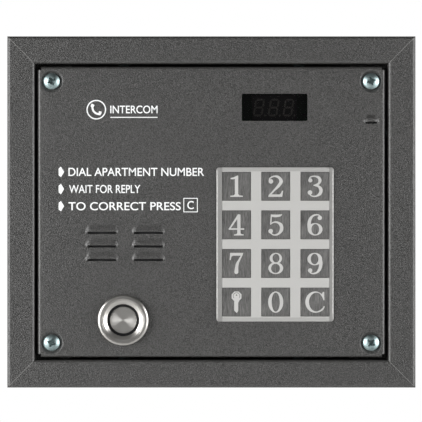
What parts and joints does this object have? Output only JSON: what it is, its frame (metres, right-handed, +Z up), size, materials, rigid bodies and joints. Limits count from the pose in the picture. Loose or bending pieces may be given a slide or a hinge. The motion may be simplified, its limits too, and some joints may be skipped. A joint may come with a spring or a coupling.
{
  "type": "door intercom panel",
  "caption": "Flush-mounted steel door intercom panel with a mitred frame, keypad, smoked display window, speaker louvres, microphone hood and round key reader.",
  "frame": {"origin": "centre of the back box's rear face, in the middle of its four fixing holes", "axes": "+X to the visitor's right, +Z up, -Y towards the visitor; every piece lies at Y of 0 or less"},
  "size_m": [0.208, 0.049, 0.179],
  "materials": {
    "textured_coat": "fine textured powder coat, dark grey",
    "zinc_plate": "bright blue zinc plating",
    "stainless": "fine turned stainless steel",
    "key_metal": "dark vertically brushed metal with light figures",
    "grid_metal": "matt light grey metal",
    "smoked_lens": "polished smoked acrylic",
    "black_plastic": "moulded black plastic",
    "digit_insert": "unlit segment inserts",
    "black_rubber": "moulded rubber",
    "silicone": "grey silicone",
    "circuit_board": "green solder mask",
    "ferrite": "ground ferrite magnet",
    "paper_cone": "pressed black paper",
    "screen_cloth": "woven acoustic cloth",
    "capacitor_sleeve": "shrink sleeve",
    "cream_plastic": "moulded nylon",
    "trimmer_blue": "moulded blue plastic",
    "wire_jacket": "flexible wire jacket"
  },
  "bodies": {
    "wall_frame": {"back_box": "textured_coat", "frame_top_rail": "textured_coat", "frame_bottom_rail": "textured_coat", "frame_left_rail": "textured_coat", "frame_right_rail": "textured_coat", "corner_brackets": "textured_coat", "threaded_pillars": "zinc_plate", "frame_rivets": "zinc_plate", "cable_grommet": "black_rubber"},
    "door_panel": {"front_panel": "textured_coat", "display_window": "smoked_lens", "display_module": "black_plastic", "display_digits": "digit_insert", "keypad_bezel": "grid_metal", "keypad_seal": "black_rubber", "keypad_mat": "silicone", "keypad_board": "circuit_board", "weld_studs": "zinc_plate", "stud_nuts": "zinc_plate", "speaker_basket": "zinc_plate", "speaker_magnet": "ferrite", "speaker_surround": "black_rubber", "speaker_clamps": "zinc_plate", "speaker_screen": "screen_cloth", "mic_boot": "black_rubber", "mic_capsule": "stainless", "reader_housing": "stainless", "reader_insulator": "black_plastic", "reader_seal": "black_rubber", "reader_nut": "zinc_plate", "reader_spring": "stainless", "main_board": "circuit_board", "board_spacers": "cream_plastic", "microcontroller": "black_plastic", "capacitors": "capacitor_sleeve", "board_connectors": "cream_plastic", "trimmer_bodies": "trimmer_blue", "ribbon_cable": "wire_jacket", "inner_leads": "wire_jacket"},
    "key_1": {"key_1": "key_metal"},
    "key_2": {"key_2": "key_metal"},
    "key_3": {"key_3": "key_metal"},
    "key_4": {"key_4": "key_metal"},
    "key_5": {"key_5": "key_metal"},
    "key_6": {"key_6": "key_metal"},
    "key_7": {"key_7": "key_metal"},
    "key_8": {"key_8": "key_metal"},
    "key_9": {"key_9": "key_metal"},
    "key_unlock": {"key_unlock": "key_metal"},
    "key_0": {"key_0": "key_metal"},
    "key_c": {"key_c": "key_metal"},
    "screw_lower_left": {"screw_lower_left": "zinc_plate"},
    "screw_upper_left": {"screw_upper_left": "zinc_plate"},
    "screw_lower_right": {"screw_lower_right": "zinc_plate"},
    "screw_upper_right": {"screw_upper_right": "zinc_plate"},
    "speaker_cone": {"speaker_cone": "paper_cone"},
    "reader_contact": {"reader_contact": "stainless"},
    "trimmer_rotor_speaker": {"trimmer_rotor_speaker": "cream_plastic"},
    "trimmer_rotor_mic": {"trimmer_rotor_mic": "cream_plastic"}
  },
  "joints": [
    {"name": "panel_removal", "type": "slide", "parent": "wall_frame", "child": "door_panel", "axis": [0, -1, 0], "range_m": [0, 0.12]},
    {"name": "key_1_press", "type": "slide", "parent": "door_panel", "child": "key_1", "axis": [0, 1, 0], "range_m": [0, 0.0006], "stiffness_N_per_m": 2500, "springref_m": -0.0003, "deforming": ["keypad_mat"]},
    {"name": "key_2_press", "type": "slide", "parent": "door_panel", "child": "key_2", "axis": [0, 1, 0], "range_m": [0, 0.0006], "stiffness_N_per_m": 2500, "springref_m": -0.0003, "deforming": ["keypad_mat"]},
    {"name": "key_3_press", "type": "slide", "parent": "door_panel", "child": "key_3", "axis": [0, 1, 0], "range_m": [0, 0.0006], "stiffness_N_per_m": 2500, "springref_m": -0.0003, "deforming": ["keypad_mat"]},
    {"name": "key_4_press", "type": "slide", "parent": "door_panel", "child": "key_4", "axis": [0, 1, 0], "range_m": [0, 0.0006], "stiffness_N_per_m": 2500, "springref_m": -0.0003, "deforming": ["keypad_mat"]},
    {"name": "key_5_press", "type": "slide", "parent": "door_panel", "child": "key_5", "axis": [0, 1, 0], "range_m": [0, 0.0006], "stiffness_N_per_m": 2500, "springref_m": -0.0003, "deforming": ["keypad_mat"]},
    {"name": "key_6_press", "type": "slide", "parent": "door_panel", "child": "key_6", "axis": [0, 1, 0], "range_m": [0, 0.0006], "stiffness_N_per_m": 2500, "springref_m": -0.0003, "deforming": ["keypad_mat"]},
    {"name": "key_7_press", "type": "slide", "parent": "door_panel", "child": "key_7", "axis": [0, 1, 0], "range_m": [0, 0.0006], "stiffness_N_per_m": 2500, "springref_m": -0.0003, "deforming": ["keypad_mat"]},
    {"name": "key_8_press", "type": "slide", "parent": "door_panel", "child": "key_8", "axis": [0, 1, 0], "range_m": [0, 0.0006], "stiffness_N_per_m": 2500, "springref_m": -0.0003, "deforming": ["keypad_mat"]},
    {"name": "key_9_press", "type": "slide", "parent": "door_panel", "child": "key_9", "axis": [0, 1, 0], "range_m": [0, 0.0006], "stiffness_N_per_m": 2500, "springref_m": -0.0003, "deforming": ["keypad_mat"]},
    {"name": "key_unlock_press", "type": "slide", "parent": "door_panel", "child": "key_unlock", "axis": [0, 1, 0], "range_m": [0, 0.0006], "stiffness_N_per_m": 2500, "springref_m": -0.0003, "deforming": ["keypad_mat"]},
    {"name": "key_0_press", "type": "slide", "parent": "door_panel", "child": "key_0", "axis": [0, 1, 0], "range_m": [0, 0.0006], "stiffness_N_per_m": 2500, "springref_m": -0.0003, "deforming": ["keypad_mat"]},
    {"name": "key_c_press", "type": "slide", "parent": "door_panel", "child": "key_c", "axis": [0, 1, 0], "range_m": [0, 0.0006], "stiffness_N_per_m": 2500, "springref_m": -0.0003, "deforming": ["keypad_mat"]},
    {"name": "screw_lower_left_unscrew", "type": "slide", "parent": "door_panel", "child": "screw_lower_left", "axis": [0, -1, 0], "range_m": [0, 0.0125]},
    {"name": "screw_upper_left_unscrew", "type": "slide", "parent": "door_panel", "child": "screw_upper_left", "axis": [0, -1, 0], "range_m": [0, 0.0125]},
    {"name": "screw_lower_right_unscrew", "type": "slide", "parent": "door_panel", "child": "screw_lower_right", "axis": [0, -1, 0], "range_m": [0, 0.0125]},
    {"name": "screw_upper_right_unscrew", "type": "slide", "parent": "door_panel", "child": "screw_upper_right", "axis": [0, -1, 0], "range_m": [0, 0.0125]},
    {"name": "cone_travel", "type": "slide", "parent": "door_panel", "child": "speaker_cone", "axis": [0, 1, 0], "range_m": [-0.0008, 0.0008], "stiffness_N_per_m": 1000, "deforming": ["speaker_surround"]},
    {"name": "contact_press", "type": "slide", "parent": "door_panel", "child": "reader_contact", "axis": [0, 1, 0], "range_m": [0, 0.0012], "stiffness_N_per_m": 600, "springref_m": -0.001, "deforming": ["reader_spring"]},
    {"name": "trimmer_rotor_speaker_turn", "type": "hinge", "parent": "door_panel", "child": "trimmer_rotor_speaker", "pos_m": [-0.03, -0.0305, 0.06], "axis": [0, 1, 0], "range_deg": [-135, 135]},
    {"name": "trimmer_rotor_mic_turn", "type": "hinge", "parent": "door_panel", "child": "trimmer_rotor_mic", "pos_m": [-0.046, -0.0305, 0.06], "axis": [0, 1, 0], "range_deg": [-135, 135]}
  ]
}
